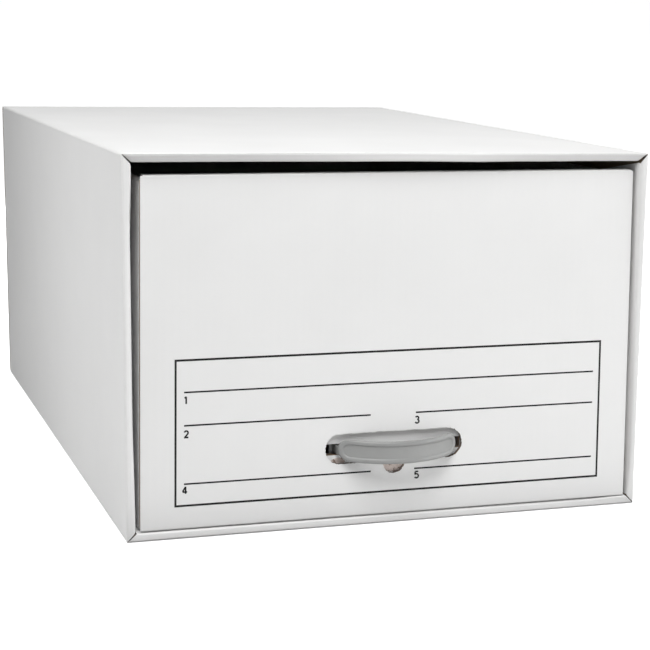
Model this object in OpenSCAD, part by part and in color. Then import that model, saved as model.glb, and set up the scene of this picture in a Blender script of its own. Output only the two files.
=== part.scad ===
// File box with drawer: a sleeve of folded corrugated board, and a drawer of the same
// board that slides in it on its doubled floor and is pulled by a bowed moulded handle.
// Millimetres, +Z up. The origin is the middle of the shell's underside; the mouth
// faces -Y. Each panel between two creases of a blank is a sub-part of its own.

/* [Board] */
// Thickness of the corrugated board
board_t = 3.5; // [2.8:0.1:4]
// Outer radius of a folded crease
fold_r = 2.2; // [1.2:0.1:2.8]
// Air between two plies that are folded face to face
ply_gap = 0.4; // [0.3:0.1:0.7]

/* [Shell] */
// Width of the shell over its side walls
shell_w = 432; // [400:1:480]
// Height of the shell
shell_h = 292; // [260:1:330]
// Depth of the shell from its mouth to its rear face
shell_d = 648; // [560:1:700]
// Height of the glue tab inside the right wall
glue_tab_h = 36; // [25:1:50]

/* [Shell mouth] */
// Depth of the flaps that turn back inside the mouth
return_d = 76; // [50:1:100]
// How far the free end of a return flap is cut back at each side
return_taper = 12; // [4:1:24]
// How far each rim strip stops short of its mitre
mitre_slit = 0.6; // [0.4:0.1:1.2]

/* [Rear closure] */
// Height of the upper rear flap
rear_upper_h = 132; // [100:1:160]
// Slit between the upper and the lower rear flap
rear_slit = 1; // [0.5:0.1:3]
// Length of the side flaps that close the rear from inside
rear_side_w = 140; // [110:1:150]
// Room between the tuck tab and each side flap
tuck_tab_play = 14; // [8:1:20]
// How far the tuck tab reaches down behind the lower flap
tuck_tab_d = 42; // [25:1:55]
// How far the tuck tab backs the upper flap
tuck_tab_root = 9; // [5:1:20]
// Corner radius of the tuck tab
tuck_tab_r = 14; // [5:1:20]

/* [Drawer fit] */
// Gap between the drawer and the left return flap
left_play = 8.5; // [1:0.5:10]
// Gap between the drawer and the right return flap
right_play = 6; // [1:0.5:10]
// Gap above the drawer front
top_play = 9.5; // [4:0.5:14]
// Gap between the closed drawer and the rear closure
back_play = 10; // [4:1:20]
// Gap between the drawer and the floor liner that it slides on
slide_gap = 0.3; // [0.2:0.1:0.5]
// How far the drawer front sits behind the rim
front_recess = 3; // [1:0.5:16]

/* [Drawer] */
// Corner radius at the top of the drawer front and back
front_corner_r = 2; // [1:0.5:8]
// Width of the drawer's lock tabs
lock_tab_w = 48; // [30:1:60]
// Clearance round a lock tab in its slot
lock_tab_gap = 0.2; // [0.1:0.05:0.3]
// Length of the corner flaps at the back of the drawer
back_flap_w = 150; // [100:1:180]
// How far the long front flap runs on past the hand hole
front_flap_margin = 18; // [12:1:30]
// Slit between the two front corner flaps
front_flap_slit = 1; // [0.5:0.1:3]

/* [Hand hole] */
// Width of the hand hole
hole_w = 113; // [110:1:125]
// Height of the hand hole
hole_h = 23; // [22:1:30]
// Height of the middle of the hand hole above the drawer's underside
hole_z = 54; // [44:0.5:90]
// How far the hand hole sits to the right of the drawer's middle
hole_shift = 0.5; // [-10:0.5:10]
// Width of the thumb notch under the hand hole
notch_w = 17.5; // [12:0.5:20]
// Depth of the thumb notch
notch_d = 10; // [9:0.5:14]
// How far the thumb notch sits to the left of the hand hole's middle
notch_shift = 0.5; // [-4:0.5:4]
// Length of each slot that takes a handle tail
tail_slot_w = 19; // [17:0.5:20]
// Height of each slot that takes a handle tail
tail_slot_h = 9; // [8.5:0.5:11]

/* [Handle] */
// Width of the grip
grip_w = 100; // [92:1:102]
// How far the handle sits to the right of the hand hole's middle
grip_shift = 2; // [-2:0.5:2]
// Height of the grip
grip_h = 19; // [15:0.5:20]
// Thickness of the grip between its beads
grip_t = 1.8; // [1.4:0.1:2.4]
// Thickness of the bead round the grip
bead_d = 4; // [2.6:0.1:4.6]
// Width of the bead round the grip
bead_w = 4.4; // [2:0.1:5]
// Slope of the grip's tips against the drawer front
grip_slope = 42; // [28:1:46]
// Height of the tails that pass through the front
tail_h = 6.5; // [5:0.5:8]
// How far the tails and their slots sit below the middle of the grip
tail_drop = 1; // [0:0.5:1.5]
// Thickness of the tails
tail_t = 2.2; // [1.6:0.1:2.6]
// Bend radius of a tail
tail_r = 4; // [3:0.5:4.5]
// Width of the lock bar at the end of a tail
bar_w = 8; // [6:0.5:9]
// Height of the lock bar
bar_h = 16; // [13:0.5:16.5]
// Thickness of the lock bar
bar_t = 2.6; // [2:0.2:4]
// Clearance between the handle and the plies that hold it
handle_gap = 0.3; // [0.2:0.1:0.6]

/* [Hidden] */
$fn = 48;

// Overshoot of a cutter past the face that it cuts
cut = 2;

// Two plies folded face to face: the rim of the shell and the sides of the drawer
double_t = 2 * board_t + ply_gap;
// Three plies: the front and the back of the drawer
triple_t = 3 * board_t + 2 * ply_gap;

// The drawer's own box, from its lower left front corner
drawer_w = shell_w - 2 * double_t - left_play - right_play;
drawer_d = shell_d - 2 * board_t - back_play - front_recess;
drawer_h = shell_h - 2 * double_t - top_play - slide_gap;
drawer_x = -shell_w / 2 + double_t + left_play;
drawer_z = double_t + slide_gap;

// The sides stop under the folded top edge of the front and the back
side_h = drawer_h - board_t - ply_gap;
// Where a side's inner ply starts, behind the corner flap
side_start = 2 * (board_t + ply_gap);
side_len = drawer_d - 2 * side_start;
// Inner plies stand this far above the drawer's underside
inner_z = board_t + ply_gap;
inner_w = drawer_w - 2 * (double_t + ply_gap);

hole_x = drawer_w / 2 + hole_shift;
// A tail slot ends where the hand hole does
tail_slot_x = hole_w / 2 - tail_slot_w / 2;
front_flap_long_w = hole_x + hole_w / 2 + front_flap_margin;
front_flap_short_w = drawer_w - front_flap_long_w - front_flap_slit;

rear_seam_z = shell_h - rear_upper_h;
tuck_tab_w = shell_w - 2 * rear_side_w - 2 * tuck_tab_play;

// Straight steps in the bend of a tail
bend_steps = 8;
// The grip is an arc about an upright axis behind the front; its tips almost touch the flap
grip_r = grip_w / 2 / sin(grip_slope);
grip_axis_y = sqrt(pow(grip_r - bead_d / 2, 2) - pow(grip_w / 2, 2)) - handle_gap;
grip_tip_y = grip_axis_y - grip_r * cos(grip_slope);

// ---- Board ----

// What a crease takes off a square board edge: a mitre at 45 degrees, and the
// rounding of its outer corner. The edge is the origin and the outer face is y = 0.
module crease_cut() {
    polygon([[-cut, cut], [-cut, -board_t - cut], [board_t + cut, -board_t - cut]]);
    difference() {
        translate([-cut, -fold_r]) square([fold_r + cut, fold_r + cut]);
        translate([fold_r, -fold_r]) circle(r = fold_r);
    }
}

// A crease cutter along the Y axis, for an edge of the given length
module crease_along_y(length) {
    translate([0, length + cut, 0]) rotate([90, 0, 0]) linear_extrude(length + 2 * cut) crease_cut();
}

// The same along the X axis
module crease_along_x(length) {
    translate([-cut, 0, 0]) rotate([90, 0, 90]) linear_extrude(length + 2 * cut) crease_cut();
}

// A flat panel from the origin to [w, l] with its outer face at z = 0. folds says
// which of its edges x = 0, x = w, y = 0 and y = l are creases; the others are cut.
module panel(w, l, folds) {
    difference() {
        translate([0, 0, -board_t]) cube([w, l, board_t]);
        if (folds[0] == 1) crease_along_y(l);
        if (folds[1] == 1) translate([w, 0, 0]) mirror([1, 0, 0]) crease_along_y(l);
        if (folds[2] == 1) crease_along_x(w);
        if (folds[3] == 1) translate([0, l, 0]) mirror([0, 1, 0]) crease_along_x(w);
    }
}

// A panel whose corners at the far end, y = l, are cut back by taper, starting at y = from
module tapered_panel(w, l, folds, from, taper) {
    difference() {
        panel(w, l, folds);
        taper_cut(l, from, taper);
        translate([w, 0, 0]) mirror([1, 0, 0]) taper_cut(l, from, taper);
    }
}

module taper_cut(l, from, taper) {
    slope = taper / (l - from);
    translate([0, 0, -board_t - cut]) linear_extrude(board_t + 2 * cut)
        polygon([[0, from], [taper + cut * slope, l + cut], [-cut, l + cut], [-cut, from]]);
}

// Turn a panel so that its outer face looks to the left, the front or the back.
// Its y then runs back for the left, and up for the front and the back.
module facing_left() { rotate([0, -90, 0]) children(); }
module facing_right() { mirror([1, 0, 0]) rotate([0, -90, 0]) children(); }
module facing_down() { mirror([0, 0, 1]) children(); }
module facing_front() { rotate([90, 0, 0]) children(); }
module facing_back() { mirror([0, 1, 0]) rotate([90, 0, 0]) children(); }

// Everything is placed from the middle of the mouth's lower edge
module from_mouth() { translate([0, -shell_d / 2, 0]) children(); }

// ---- Shell ----

module shell_top() {
    color("whitesmoke") from_mouth()
        translate([-shell_w / 2, 0, shell_h]) panel(shell_w, shell_d, [1, 1, 1, 1]);
}

module shell_bottom() {
    color("whitesmoke") from_mouth()
        translate([-shell_w / 2, 0, 0]) facing_down() panel(shell_w, shell_d, [1, 1, 1, 1]);
}

// The side walls stop one board short at the rear, where their flaps turn in under
// the upper and the lower flap
module side_wall() {
    translate([-shell_w / 2, 0, 0]) facing_left() panel(shell_h, shell_d - board_t, [1, 1, 1, 1]);
}

module shell_left_wall() { color("gainsboro") from_mouth() side_wall(); }
module shell_right_wall() { color("gainsboro") from_mouth() mirror([1, 0, 0]) side_wall(); }

// The tab that closes the tube, turned up from the bottom and glued to the right wall
module shell_glue_tab() {
    tab_l = shell_d - 3 * board_t - return_d - 2 * ply_gap;
    color("tan") from_mouth()
        translate([shell_w / 2 - board_t, return_d + board_t, board_t])
            rotate([90, 0, -90]) linear_extrude(board_t)
                polygon([[0, 0], [-tab_l, 0], [-tab_l + glue_tab_h / 2, glue_tab_h],
                    [-glue_tab_h / 2, glue_tab_h]]);
}

// ---- Mouth of the shell ----

// A strip of the rim, with its outer crease at y = 0 and mitred ends
module rim_strip(length) {
    difference() {
        panel(length, double_t, [0, 0, 1, 1]);
        mitre_cut();
        translate([length, 0, 0]) mirror([1, 0, 0]) mitre_cut();
    }
}

module mitre_cut() {
    far = double_t + cut;
    translate([0, 0, -board_t - cut]) linear_extrude(board_t + 2 * cut)
        polygon([[mitre_slit - cut, -cut], [mitre_slit + far, far], [-cut, far], [-cut, -cut]]);
}

module lower_rim() { translate([-shell_w / 2, 0, 0]) facing_front() rim_strip(shell_w); }
module left_rim() {
    translate([-shell_w / 2, 0, 0]) facing_right() facing_front() rim_strip(shell_h);
}

module rim_bottom() { color("whitesmoke") from_mouth() lower_rim(); }
module rim_top() {
    color("whitesmoke") from_mouth() translate([0, 0, shell_h]) mirror([0, 0, 1]) lower_rim();
}
module rim_left() { color("whitesmoke") from_mouth() left_rim(); }
module rim_right() { color("whitesmoke") from_mouth() mirror([1, 0, 0]) left_rim(); }

// A flap that turns back inside the mouth from a rim strip of the given length
module return_flap(length, depth) {
    edge = double_t + mitre_slit;
    translate([edge, 0, 0])
        tapered_panel(length - 2 * edge, depth, [0, 0, 1, 0], board_t, return_taper);
}

module left_return() {
    translate([-shell_w / 2 + double_t, 0, 0]) facing_right() return_flap(shell_h, return_d);
}

module return_flap_top() {
    color("gainsboro") from_mouth()
        translate([-shell_w / 2, 0, shell_h - double_t]) facing_down() return_flap(shell_w, return_d);
}

// The lower flap runs on to the rear, so that the drawer slides level on it
module floor_liner() {
    color("gainsboro") from_mouth() translate([-shell_w / 2, 0, double_t])
        return_flap(shell_w, shell_d - 2 * board_t - ply_gap);
}

module return_flap_left() { color("gainsboro") from_mouth() left_return(); }
module return_flap_right() { color("gainsboro") from_mouth() mirror([1, 0, 0]) left_return(); }

// ---- Rear closure ----

module rear_side_flap() {
    flap_h = shell_h - 2 * (board_t + ply_gap);
    translate([-shell_w / 2, shell_d - board_t, board_t + ply_gap]) facing_back()
        translate([0, flap_h, 0]) rotate([0, 0, -90])
            tapered_panel(flap_h, rear_side_w, [0, 0, 1, 0], rear_side_w / 2, return_taper);
}

module rear_flap_left() { color("wheat") from_mouth() rear_side_flap(); }
module rear_flap_right() { color("wheat") from_mouth() mirror([1, 0, 0]) rear_side_flap(); }

module rear_flap_upper() {
    color("whitesmoke") from_mouth() translate([-shell_w / 2, shell_d, rear_seam_z]) facing_back()
        panel(shell_w, rear_upper_h, [0, 0, 0, 1]);
}

module rear_flap_lower() {
    color("whitesmoke") from_mouth() translate([-shell_w / 2, shell_d, 0]) facing_back()
        panel(shell_w, rear_seam_z - rear_slit, [0, 0, 1, 0]);
}

// The tab at the middle of the upper flap, tucked behind the lower one
module rear_tuck_tab() {
    tab_l = tuck_tab_d + tuck_tab_root;
    color("wheat") from_mouth()
        translate([-tuck_tab_w / 2, shell_d - board_t, rear_seam_z - tuck_tab_d]) facing_back()
            translate([0, 0, -board_t]) linear_extrude(board_t) union() {
                translate([tuck_tab_r, tuck_tab_r]) circle(r = tuck_tab_r);
                translate([tuck_tab_w - tuck_tab_r, tuck_tab_r]) circle(r = tuck_tab_r);
                translate([tuck_tab_r, 0]) square([tuck_tab_w - 2 * tuck_tab_r, tab_l]);
                translate([0, tuck_tab_r]) square([tuck_tab_w, tab_l - tuck_tab_r]);
            }
}

// ---- Drawer ----

// The drawer's pieces are placed from its lower left front corner
module in_drawer() { from_mouth() translate([drawer_x, front_recess, drawer_z]) children(); }
module right_of_drawer() { translate([drawer_w, 0, 0]) mirror([1, 0, 0]) children(); }
module back_of_drawer() { translate([0, drawer_d, 0]) mirror([0, 1, 0]) children(); }

// Where the two lock tabs of an inner ply stand along its length
function tab_places(length) = [length / 4 - lock_tab_w / 2, 3 * length / 4 - lock_tab_w / 2];

// The lock tabs under an inner ply of the given length, grown by grow for their slots
module lock_tabs(length, grow) {
    for (place = tab_places(length))
        translate([place - grow, -grow, -inner_z + ply_gap - cut * sign(grow)])
            cube([lock_tab_w + 2 * grow, board_t + 2 * grow, inner_z + 2 * cut * sign(grow)]);
}

// Slots for a side's tabs and for a front or back ply's tabs
module side_slots() {
    translate([double_t, side_start, inner_z]) rotate([0, 0, 90]) lock_tabs(side_len, lock_tab_gap);
}
module end_slots() {
    translate([double_t + ply_gap, side_start, inner_z]) lock_tabs(inner_w, lock_tab_gap);
}

module drawer_bottom() {
    color("wheat") in_drawer() difference() {
        facing_down() panel(drawer_w, drawer_d, [1, 1, 1, 1]);
        side_slots();
        right_of_drawer() side_slots();
        end_slots();
        back_of_drawer() end_slots();
    }
}

module side_outer() {
    translate([0, board_t + ply_gap, 0]) facing_left()
        panel(side_h, drawer_d - 2 * (board_t + ply_gap), [1, 1, 1, 1]);
}

module side_edge() {
    translate([0, side_start, side_h]) panel(double_t, side_len, [1, 1, 0, 0]);
}

module side_inner() {
    translate([double_t, side_start, inner_z]) union() {
        facing_right() panel(side_h - inner_z, side_len, [0, 1, 0, 0]);
        rotate([0, 0, 90]) lock_tabs(side_len, 0);
    }
}

module drawer_left_outer() { color("gainsboro") in_drawer() side_outer(); }
module drawer_left_edge() { color("whitesmoke") in_drawer() side_edge(); }
module drawer_left_inner() { color("whitesmoke") in_drawer() side_inner(); }
module drawer_right_outer() { color("gainsboro") in_drawer() right_of_drawer() side_outer(); }
module drawer_right_edge() { color("whitesmoke") in_drawer() right_of_drawer() side_edge(); }
module drawer_right_inner() { color("whitesmoke") in_drawer() right_of_drawer() side_inner(); }

// What rounds the two top corners of the front and the back
module top_corner_cut() {
    r = front_corner_r;
    translate([0, -cut, drawer_h]) rotate([-90, 0, 0]) linear_extrude(triple_t + 2 * cut)
        difference() {
            translate([-cut, -cut]) square(r + cut);
            translate([r, r]) circle(r = r);
        }
}

module end_outer() {
    difference() {
        facing_front() panel(drawer_w, drawer_h, [0, 0, 1, 1]);
        top_corner_cut();
        right_of_drawer() top_corner_cut();
    }
}

module end_edge() {
    difference() {
        translate([0, 0, drawer_h]) panel(drawer_w, triple_t, [0, 0, 1, 1]);
        top_corner_cut();
        right_of_drawer() top_corner_cut();
    }
}

module end_inner() {
    translate([double_t + ply_gap, side_start, inner_z]) union() {
        translate([0, board_t, 0]) facing_back() panel(inner_w, drawer_h - inner_z, [0, 0, 0, 1]);
        lock_tabs(inner_w, 0);
    }
}

// A corner flap of the left side, between the two plies of the front
module corner_flap(length) {
    translate([0, board_t + ply_gap, inner_z]) facing_front()
        panel(length, side_h - inner_z, [1, 0, 0, 0]);
}

// A cutter with round ends through the front, centred on the hand hole
module through_front(w, h) {
    rotate([-90, 0, 0]) translate([0, 0, -cut]) linear_extrude(triple_t + 2 * cut) union() {
        square([w - h, h], center = true);
        translate([(w - h) / 2, 0]) circle(d = h);
        translate([-(w - h) / 2, 0]) circle(d = h);
    }
}

module at_hand_hole() { translate([hole_x, 0, hole_z]) children(); }

module tail_slots() {
    for (side = [-1, 1])
        translate([side * tail_slot_x - tail_slot_w / 2, -cut, -tail_drop - tail_slot_h / 2])
            cube([tail_slot_w, triple_t + 2 * cut, tail_slot_h]);
}

module drawer_front_outer() {
    color("white") in_drawer() difference() {
        end_outer();
        at_hand_hole() union() {
            through_front(hole_w, hole_h);
            translate([-notch_shift, -cut, -hole_h / 2 + notch_w / 2 - notch_d]) rotate([-90, 0, 0])
                cylinder(d = notch_w, h = board_t + 2 * cut);
        }
    }
}

module drawer_front_edge() { color("white") in_drawer() end_edge(); }

module drawer_front_inner() {
    color("whitesmoke") in_drawer() difference() {
        end_inner();
        at_hand_hole() tail_slots();
    }
}

// The left side's flap is long, so that it backs the whole hand hole
module front_flap_long() {
    color("whitesmoke") in_drawer() difference() {
        corner_flap(front_flap_long_w);
        at_hand_hole() tail_slots();
    }
}

module front_flap_short() {
    color("whitesmoke") in_drawer() right_of_drawer() corner_flap(front_flap_short_w);
}

module drawer_back_outer() { color("gainsboro") in_drawer() back_of_drawer() end_outer(); }
module drawer_back_edge() { color("whitesmoke") in_drawer() back_of_drawer() end_edge(); }
module drawer_back_inner() { color("whitesmoke") in_drawer() back_of_drawer() end_inner(); }
module back_flap_left() { color("wheat") in_drawer() back_of_drawer() corner_flap(back_flap_w); }
module back_flap_right() {
    color("wheat") in_drawer() back_of_drawer() right_of_drawer() corner_flap(back_flap_w);
}

// ---- Handle ----

// An upright arc of the grip, of the given thickness, over its full width and height
module grip_arc(thickness) {
    translate([0, grip_axis_y, -grip_h / 2]) linear_extrude(grip_h) difference() {
        circle(r = grip_r + thickness / 2);
        circle(r = grip_r - thickness / 2);
        translate([-2 * grip_r, -grip_r * cos(grip_slope) + thickness]) square(4 * grip_r);
    }
}

// The outline of the grip as seen from the front, inset by the given amount
module grip_outline(inset) {
    w = grip_w - 2 * inset;
    h = grip_h - 2 * inset;
    translate([0, -grip_r, 0]) rotate([-90, 0, 0]) linear_extrude(2 * grip_r) union() {
        square([w - h, h], center = true);
        translate([(w - h) / 2, 0]) circle(d = h);
        translate([-(w - h) / 2, 0]) circle(d = h);
    }
}

module grip() {
    intersection() {
        grip_arc(grip_t);
        grip_outline(bead_w / 2);
    }
    difference() {
        intersection() {
            grip_arc(bead_d);
            grip_outline(0);
        }
        grip_outline(bead_w);
    }
}

// Points along the tail's bend at the distance r from its centre
function bend_arc(r) = [for (i = [0:bend_steps]) let (a = (grip_slope - 90) * (1 - i / bend_steps))
    [r * cos(a), r * sin(a)]];

// The right-hand tail: a bend from the grip's tip, a straight leg through both plies,
// and the bar that locks behind them. It is drawn from the centre of the bend.
module tail() {
    root = bead_w / 2; // how far the bend starts inside the tip
    bend_x = grip_w / 2 - root * cos(grip_slope) - tail_r * sin(grip_slope);
    bend_y = grip_tip_y - root * sin(grip_slope) + tail_r * cos(grip_slope);
    bar_y = double_t + handle_gap - bend_y;
    outer = bend_arc(tail_r + tail_t / 2);
    inner = bend_arc(tail_r - tail_t / 2);
    leg_end = [[tail_r + tail_t / 2, bar_y + bar_t / 2], [tail_r - tail_t / 2, bar_y + bar_t / 2]];
    translate([bend_x, bend_y, -tail_drop]) {
        translate([0, 0, -tail_h / 2]) linear_extrude(tail_h)
            polygon(concat(outer, leg_end, [for (i = [bend_steps:-1:0]) inner[i]]));
        translate([tail_r - bar_w / 2, bar_y, -bar_h / 2]) cube([bar_w, bar_t, bar_h]);
    }
}

module handle() {
    color("darkgray") in_drawer() at_hand_hole() translate([grip_shift, board_t + ply_gap, 0]) union() {
        grip();
        tail();
        mirror([1, 0, 0]) tail();
    }
}

// ---- Nodes ----

shell_top();
shell_bottom();
shell_left_wall();
shell_right_wall();
shell_glue_tab();
rim_top();
rim_bottom();
rim_left();
rim_right();
return_flap_top();
floor_liner();
return_flap_left();
return_flap_right();
rear_flap_left();
rear_flap_right();
rear_flap_upper();
rear_flap_lower();
rear_tuck_tab();
drawer_bottom();
drawer_left_outer();
drawer_left_edge();
drawer_left_inner();
drawer_right_outer();
drawer_right_edge();
drawer_right_inner();
drawer_front_outer();
drawer_front_edge();
drawer_front_inner();
front_flap_long();
front_flap_short();
drawer_back_outer();
drawer_back_edge();
drawer_back_inner();
back_flap_left();
back_flap_right();
handle();
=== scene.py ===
"""File box with drawer: the look of the folded corrugated sleeve, its drawer and its handle.

Every panel of board is three closed sheets, a liner, a waved medium and a second liner,
worked out on grids in millimetres from the middle of the shell's underside.
"""
import math

import bmesh
import bpy
import numpy as np
from mathutils import Matrix


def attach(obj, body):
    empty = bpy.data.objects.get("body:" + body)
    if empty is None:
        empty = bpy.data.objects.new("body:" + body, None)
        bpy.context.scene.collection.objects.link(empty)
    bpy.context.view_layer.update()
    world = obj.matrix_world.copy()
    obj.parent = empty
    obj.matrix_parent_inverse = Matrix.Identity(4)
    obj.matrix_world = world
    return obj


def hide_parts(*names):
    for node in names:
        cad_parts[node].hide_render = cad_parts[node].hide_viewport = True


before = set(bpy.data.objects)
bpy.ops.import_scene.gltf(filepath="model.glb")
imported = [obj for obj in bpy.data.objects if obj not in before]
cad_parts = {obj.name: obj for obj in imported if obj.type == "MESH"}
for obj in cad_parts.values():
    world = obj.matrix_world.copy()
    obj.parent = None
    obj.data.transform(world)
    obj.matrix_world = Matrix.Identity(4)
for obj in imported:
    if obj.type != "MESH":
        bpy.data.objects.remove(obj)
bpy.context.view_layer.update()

# ---- Table, light and camera ----
# The box stands on a plain white table under soft daylight lamps. The camera looks
# down at it from the left, so that the mouth, the top and the left wall show.
mm = 0.001
mouth_y = -324.0

eye = np.array([-451.8, -1530.3, 388.5])
yaw, pitch, roll = np.radians([18.079, 10.181, 0.97])
view_right = np.array([math.cos(yaw), -math.sin(yaw), 0.0])
view_ahead = np.array([
    math.sin(yaw) * math.cos(pitch), math.cos(yaw) * math.cos(pitch), -math.sin(pitch)])
view_up = np.cross(view_right, view_ahead)
rolled_right = view_right * math.cos(roll) + view_up * math.sin(roll)
rolled_up = view_up * math.cos(roll) - view_right * math.sin(roll)


def put_in_scene(name, data):
    """A new object that holds the given data, linked into the scene."""
    thing = bpy.data.objects.new(name, data)
    bpy.context.scene.collection.objects.link(thing)
    return thing


camera_data = bpy.data.cameras.new("camera")
camera_data.sensor_width = 36.0
camera_data.lens = 93.905
camera_data.clip_end = 50.0
camera = put_in_scene("camera", camera_data)
turn = np.eye(4)
turn[:3, 0], turn[:3, 1], turn[:3, 2] = rolled_right, rolled_up, -view_ahead
turn[:3, 3] = eye * mm
camera.matrix_world = Matrix(turn.tolist())
bpy.context.scene.camera = camera
bpy.context.scene.view_settings.view_transform = "Standard"


def lamp(name, place, target, size, power):
    """A white, square soft lamp at place, turned to shine at target. Its size and places are
    in metres, its power is in watts."""
    data = bpy.data.lights.new(name, "AREA")
    data.shape = "SQUARE"
    data.size = size
    data.energy = power
    lit = put_in_scene(name, data)
    aim = np.array(target) - np.array(place)
    aim = aim / np.linalg.norm(aim)
    side = np.cross(aim, (0.0, 0.0, 1.0))
    side = side / np.linalg.norm(side)
    pose = np.eye(4)
    pose[:3, 0], pose[:3, 1], pose[:3, 2], pose[:3, 3] = side, np.cross(side, aim), -aim, place
    lit.matrix_world = Matrix(pose.tolist())
    lit.visible_camera = False


# The main lamp hangs high in front, low ones light the left wall, the back and the foot of
# the front, and the last one is the light that the table throws back.
middle = (0.0, -0.05, 0.15)
for lamp_data in (
        ("main_lamp", (-0.3, -1.2, 1.8), middle, 1.2, 35.5),
        ("rear_lamp", (0.6, 0.8, 2.2), middle, 1.2, 12.0),
        ("right_lamp", (2.0, -0.9, 0.9), middle, 1.2, 13.0),
        ("left_wall_lamp", (-0.8, -0.2, 0.2), (-0.216, -0.2, 0.16), 0.5, 2.2),
        ("back_wall_lamp", (0.4, 2.1, 0.15), (0.0, 0.324, 0.14), 0.24, 24.0),
        ("low_lamp", (0.9, -1.0, 0.12), (0.1, -0.324, 0.08), 0.5, 3.3),
        ("table_glow", (0.0, -0.75, 0.0005), (0.001, -0.75, 1.0), 0.8, 1.15)):
    lamp(*lamp_data)

sky = bpy.data.worlds.new("studio")
sky.use_nodes = True
sky.node_tree.nodes["Background"].inputs["Color"].default_value = (1.0, 1.0, 1.0, 1.0)
sky.node_tree.nodes["Background"].inputs["Strength"].default_value = 0.09
bpy.context.scene.world = sky


class Value:
    """An output socket of a material; + and * on it add the Math nodes for them."""

    def __init__(self, tree, socket):
        self.tree = tree
        self.socket = socket

    def math(self, operation, first, second=None):
        values = [first] if second is None else [first, second]
        return add_node(self.tree, "ShaderNodeMath", {"operation": operation}, values)

    def __add__(self, other):
        return self.math("ADD", self, other)

    def __mul__(self, other):
        return self.math("MULTIPLY", self, other)

    __radd__, __rmul__ = __add__, __mul__


def add_node(tree, kind, settings, inputs, output=0):
    """Adds a node: its settings first, then a number, colour or link for each named or
    numbered input. Returns the wanted output as a Value."""
    node = tree.nodes.new(kind)
    for key, value in settings.items():
        setattr(node, key, value)
    pairs = inputs.items() if isinstance(inputs, dict) else enumerate(inputs)
    for key, value in pairs:
        if isinstance(value, Value):
            tree.links.new(value.socket, node.inputs[key])
        else:
            node.inputs[key].default_value = value
    return Value(tree, node.outputs[output])


def start_material(name, colour, roughness):
    """A new material with its shader; returns the material, its tree and the shader."""
    finish = bpy.data.materials.new(name)
    finish.use_nodes = True
    shader = finish.node_tree.nodes["Principled BSDF"]
    shader.inputs["Base Color"].default_value = colour
    shader.inputs["Roughness"].default_value = roughness
    return finish, finish.node_tree, shader


def place_on_object(tree, scale=(1, 1, 1)):
    """Object coordinates, scaled along each axis."""
    where = add_node(tree, "ShaderNodeTexCoord", {}, [], "Object")
    return add_node(tree, "ShaderNodeMapping", {}, {"Vector": where, "Scale": scale})


def noise(where, scale, detail):
    """Cloudy noise from 0 to 1 at the given number of spots per metre."""
    return add_node(where.tree, "ShaderNodeTexNoise", {},
                    {"Vector": where, "Scale": scale, "Detail": detail})


def mix_colours(share, first, second):
    """The first colour where share is 0, the second where it is 1."""
    return add_node(share.tree, "ShaderNodeMix", {"data_type": "RGBA"},
                    {0: share, 6: first, 7: second}, 2)


def feed(shader, name, value):
    """Links a value into one of the shader's sockets."""
    value.tree.links.new(value.socket, shader.inputs[name])


def grid_index(n, m, ring=False):
    """The numbers of a grid's points, n by m; in a ring the first column comes again last."""
    index = np.arange(n * m).reshape(n, m)
    return np.hstack([index, index[:, :1]]) if ring else index


def grid_faces(index):
    """The four-cornered faces between the rows and columns of a grid's numbers."""
    corners = [index[:-1, :-1], index[1:, :-1], index[1:, 1:], index[:-1, 1:]]
    return np.stack(corners, -1).reshape(-1, 4)


table_white, tree, shader = start_material("table_white", (0.9, 0.9, 0.9, 1.0), 0.8)
cloud = noise(place_on_object(tree), 3.0, 2.0)
feed(shader, "Base Color", mix_colours(cloud, (0.90, 0.90, 0.90, 1), (0.92, 0.92, 0.92, 1)))
shader.inputs["Emission Color"].default_value = (1.0, 1.0, 1.0, 1.0)
shader.inputs["Emission Strength"].default_value = 0.9


def unit(value):
    """The value, kept between 0 and 1."""
    return np.clip(value, 0, 1)


# The table is a wide disc that curves up far from the box: over its outer 4 m its height is
# 4 (1 - cos) of a quarter turn. It lies a hair lower than the box stands.
reach = np.concatenate([[0.001, 1.0, 3.0, 6.0], np.linspace(8.0, 12.0, 12)])
lift = unit((reach - 8.0) / 4.0)
turn = np.linspace(0, 2 * math.pi, 97)[:-1]
rise = 4.0 * (1 - np.cos(lift * math.pi / 2)) - 0.0004
disc = np.stack([reach[:, None] * np.cos(turn), reach[:, None] * np.sin(turn),
                 rise[:, None] + 0 * turn], -1)
table_mesh = bpy.data.meshes.new("table")
table_mesh.from_pydata(disc.reshape(-1, 3).tolist(), [],
                       grid_faces(grid_index(*disc.shape[:2], True)).tolist())
table_mesh.materials.append(table_white)
table_mesh.polygons.foreach_set("use_smooth", np.ones(len(table_mesh.polygons), bool))
table = put_in_scene("table", table_mesh)
table.visible_diffuse = False

# ---- Board of the shell: top, bottom and side walls ----
# Single-wall corrugated board, 3.5 mm thick, white outside and brown inside, die-cut
# and folded at its creases. The tube's flutes run round it, from crease to crease.
shell_w, shell_h, shell_d = 432.0, 292.0, 648.0
board_t, liner_t, medium_t = 3.5, 0.3, 0.22
flute, washboard = 6.4, 0.025  # from wave to wave, and how deep the face sinks between
tooth, raw_step = 1.8, 0.35  # of a cut edge: its saw teeth's width and depth
fold_r, sharp_angle = 2.2, math.radians(32)
ply_gap = 0.4  # between two plies that are folded together


def spots(cloudy, start, full, most):
    """0 where the noise is under start, rising to most where it is over full."""
    return add_node(cloudy.tree, "ShaderNodeMapRange", {},
                    {0: cloudy, 1: start, 2: full, 3: 0.0, 4: most})


def surface(shader, base, roughness, height, strength, distance):
    """Links a colour and a roughness, and raises the face by height times distance metres."""
    feed(shader, "Base Color", base)
    feed(shader, "Roughness", roughness)
    feed(shader, "Normal", add_node(
        base.tree, "ShaderNodeBump", {},
        {"Strength": strength, "Distance": distance, "Height": height}))


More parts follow.
